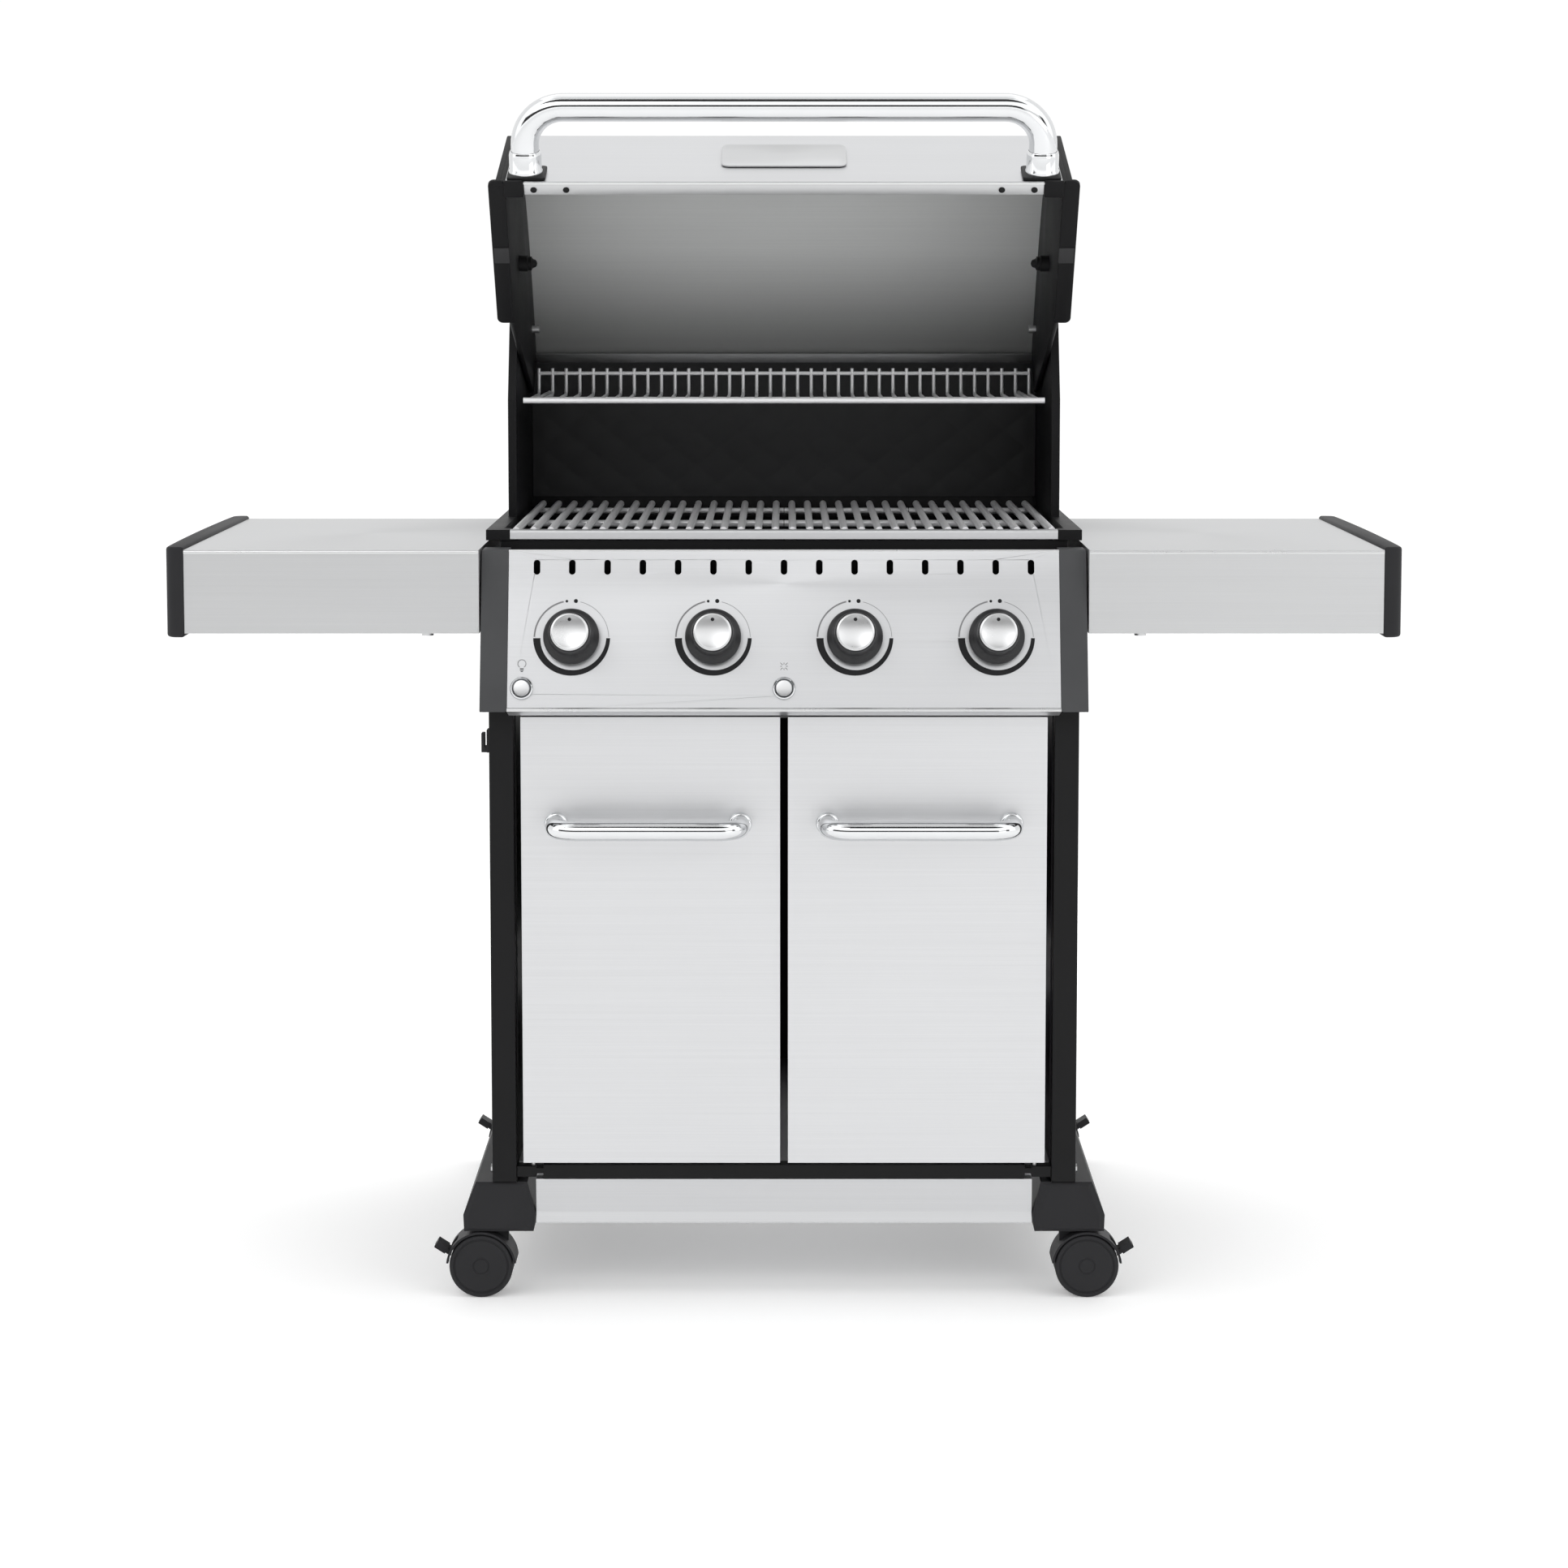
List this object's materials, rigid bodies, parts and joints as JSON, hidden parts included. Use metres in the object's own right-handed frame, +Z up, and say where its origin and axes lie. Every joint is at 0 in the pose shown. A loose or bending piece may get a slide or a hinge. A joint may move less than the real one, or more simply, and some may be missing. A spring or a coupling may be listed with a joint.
{
  "type": "gas barbecue grill",
  "caption": "Free-standing gas barbecue grill: hinged hood over a cookbox, knobs on a sloped panel, side shelves, two-door cart on casters.",
  "frame": {"origin": "on the floor, under the middle of the grill's outer box", "axes": "+X to the grill's right as its user sees it, +Y to the back, +Z up"},
  "size_m": [1.4534, 0.7005, 1.4286],
  "materials": {
    "black enamel": "satin enamel",
    "black paint": "satin",
    "black rubber": "matte",
    "brass": "machined",
    "brushed stainless": "brushed",
    "caster plastic": "satin",
    "dark plastic": "satin",
    "grey plastic": "satin",
    "polished chrome": "polished",
    "zinc plate": "plain"
  },
  "bodies": {
    "cart": {"leg_frame_left": "black paint", "leg_frame_right": "black paint", "foot_rail_left": "dark plastic", "foot_rail_right": "dark plastic", "bottom_shelf": "brushed stainless", "lower_front_panel": "brushed stainless", "door_rails": "black paint", "side_panels": "black paint", "back_panel": "black paint", "cookbox": "black enamel", "cookbox_trim": "brushed stainless", "burners": "zinc plate", "heat_tents": "brushed stainless", "cooking_grids": "polished chrome", "warming_rack": "polished chrome", "gas_manifold": "zinc plate", "valves": "brass", "igniter": "dark plastic", "control_panel": "brushed stainless", "panel_caps": "grey plastic", "shelf_left": "brushed stainless", "shelf_right": "brushed stainless", "shelf_caps": "dark plastic", "pins_and_screws": "zinc plate", "cart_fittings": "dark plastic"},
    "tray": {"grease_tray": "zinc plate", "grease_cup": "zinc plate"},
    "lid": {"lid_shell": "brushed stainless", "lid_end_left": "black enamel", "lid_end_right": "black enamel", "lid_handle": "polished chrome", "handle_ferrules": "polished chrome", "nameplate": "brushed stainless", "lid_hardware": "black rubber"},
    "left_door": {"door_left": "brushed stainless", "door_handle_left": "polished chrome"},
    "right_door": {"door_right": "brushed stainless", "door_handle_right": "polished chrome"},
    "ignition_button": {"igniter_button": "polished chrome"},
    "lamp_button": {"light_button": "polished chrome"},
    "valve_1": {"valve_stem_1": "brass"},
    "knob_1": {"knob_1": "dark plastic"},
    "valve_2": {"valve_stem_2": "brass"},
    "knob_2": {"knob_2": "dark plastic"},
    "valve_3": {"valve_stem_3": "brass"},
    "knob_3": {"knob_3": "dark plastic"},
    "valve_4": {"valve_stem_4": "brass"},
    "knob_4": {"knob_4": "dark plastic"},
    "caster_1": {"caster_hood_1": "caster plastic"},
    "wheel_1": {"caster_wheel_1": "caster plastic"},
    "caster_2": {"caster_hood_2": "caster plastic"},
    "wheel_2": {"caster_wheel_2": "caster plastic"},
    "caster_3": {"caster_hood_3": "caster plastic"},
    "wheel_3": {"caster_wheel_3": "caster plastic"},
    "caster_4": {"caster_hood_4": "caster plastic"},
    "wheel_4": {"caster_wheel_4": "caster plastic"},
    "brake_1": {"brake_pedal_1": "caster plastic"},
    "brake_2": {"brake_pedal_2": "caster plastic"},
    "brake_3": {"brake_pedal_3": "caster plastic"},
    "brake_4": {"brake_pedal_4": "caster plastic"}
  },
  "joints": [
    {"name": "lid_hinge", "type": "hinge", "parent": "cart", "child": "lid", "pos_m": [0, 0.15, 1.147], "axis": [1, 0, 0], "range_deg": [0, 53]},
    {"name": "left_door_hinge", "type": "hinge", "parent": "cart", "child": "left_door", "pos_m": [-0.299, -0.27, 0.434], "axis": [0, 0, -1], "range_deg": [0, 95]},
    {"name": "right_door_hinge", "type": "hinge", "parent": "cart", "child": "right_door", "pos_m": [0.299, -0.27, 0.434], "axis": [0, 0, 1], "range_deg": [0, 95]},
    {"name": "tray_slide", "type": "slide", "parent": "cart", "child": "tray", "axis": [0, 1, 0], "range_m": [0, 0.36]},
    {"name": "ignition_press", "type": "slide", "parent": "cart", "child": "ignition_button", "axis": [0, 0.9659, -0.2588], "range_m": [0, 0.003], "stiffness_N_per_m": 600, "springref_m": -0.003},
    {"name": "lamp_press", "type": "slide", "parent": "cart", "child": "lamp_button", "axis": [0, 0.9659, -0.2588], "range_m": [0, 0.003], "stiffness_N_per_m": 600, "springref_m": -0.003},
    {"name": "knob_1_push", "type": "slide", "parent": "cart", "child": "valve_1", "axis": [0, 0.9659, -0.2588], "range_m": [0, 0.0035], "stiffness_N_per_m": 900, "springref_m": -0.004},
    {"name": "knob_1_turn", "type": "hinge", "parent": "valve_1", "child": "knob_1", "pos_m": [-0.24825, -0.31654, 0.80118], "axis": [0, -0.9659, 0.2588], "range_deg": [0, 270]},
    {"name": "knob_2_push", "type": "slide", "parent": "cart", "child": "valve_2", "axis": [0, 0.9659, -0.2588], "range_m": [0, 0.0035], "stiffness_N_per_m": 900, "springref_m": -0.004},
    {"name": "knob_2_turn", "type": "hinge", "parent": "valve_2", "child": "knob_2", "pos_m": [-0.08275, -0.31654, 0.80118], "axis": [0, -0.9659, 0.2588], "range_deg": [0, 270]},
    {"name": "knob_3_push", "type": "slide", "parent": "cart", "child": "valve_3", "axis": [0, 0.9659, -0.2588], "range_m": [0, 0.0035], "stiffness_N_per_m": 900, "springref_m": -0.004},
    {"name": "knob_3_turn", "type": "hinge", "parent": "valve_3", "child": "knob_3", "pos_m": [0.08275, -0.31654, 0.80118], "axis": [0, -0.9659, 0.2588], "range_deg": [0, 270]},
    {"name": "knob_4_push", "type": "slide", "parent": "cart", "child": "valve_4", "axis": [0, 0.9659, -0.2588], "range_m": [0, 0.0035], "stiffness_N_per_m": 900, "springref_m": -0.004},
    {"name": "knob_4_turn", "type": "hinge", "parent": "valve_4", "child": "knob_4", "pos_m": [0.24825, -0.31654, 0.80118], "axis": [0, -0.9659, 0.2588], "range_deg": [0, 270]},
    {"name": "caster_1_swivel", "type": "hinge", "parent": "cart", "child": "caster_1", "pos_m": [-0.344, -0.258, 0.081], "axis": [0, 0, 1], "continuous": true},
    {"name": "wheel_1_spin", "type": "hinge", "parent": "caster_1", "child": "wheel_1", "pos_m": [-0.362, -0.258, 0.038], "axis": [0, 1, 0], "continuous": true},
    {"name": "caster_2_swivel", "type": "hinge", "parent": "cart", "child": "caster_2", "pos_m": [0.344, -0.258, 0.081], "axis": [0, 0, 1], "continuous": true},
    {"name": "wheel_2_spin", "type": "hinge", "parent": "caster_2", "child": "wheel_2", "pos_m": [0.362, -0.258, 0.038], "axis": [0, 1, 0], "continuous": true},
    {"name": "caster_3_swivel", "type": "hinge", "parent": "cart", "child": "caster_3", "pos_m": [-0.344, 0.328, 0.081], "axis": [0, 0, 1], "continuous": true},
    {"name": "wheel_3_spin", "type": "hinge", "parent": "caster_3", "child": "wheel_3", "pos_m": [-0.362, 0.328, 0.038], "axis": [0, 1, 0], "continuous": true},
    {"name": "caster_4_swivel", "type": "hinge", "parent": "cart", "child": "caster_4", "pos_m": [0.344, 0.328, 0.081], "axis": [0, 0, 1], "continuous": true},
    {"name": "wheel_4_spin", "type": "hinge", "parent": "caster_4", "child": "wheel_4", "pos_m": [0.362, 0.328, 0.038], "axis": [0, 1, 0], "continuous": true},
    {"name": "brake_1_press", "type": "hinge", "parent": "caster_1", "child": "brake_1", "pos_m": [-0.4015, -0.258, 0.0524], "axis": [0, -1, 0], "range_deg": [0, 16]},
    {"name": "brake_2_press", "type": "hinge", "parent": "caster_2", "child": "brake_2", "pos_m": [0.4015, -0.258, 0.0524], "axis": [0, 1, 0], "range_deg": [0, 16]},
    {"name": "brake_3_press", "type": "hinge", "parent": "caster_3", "child": "brake_3", "pos_m": [-0.4015, 0.328, 0.0524], "axis": [0, -1, 0], "range_deg": [0, 16]},
    {"name": "brake_4_press", "type": "hinge", "parent": "caster_4", "child": "brake_4", "pos_m": [0.4015, 0.328, 0.0524], "axis": [0, 1, 0], "range_deg": [0, 16]}
  ]
}
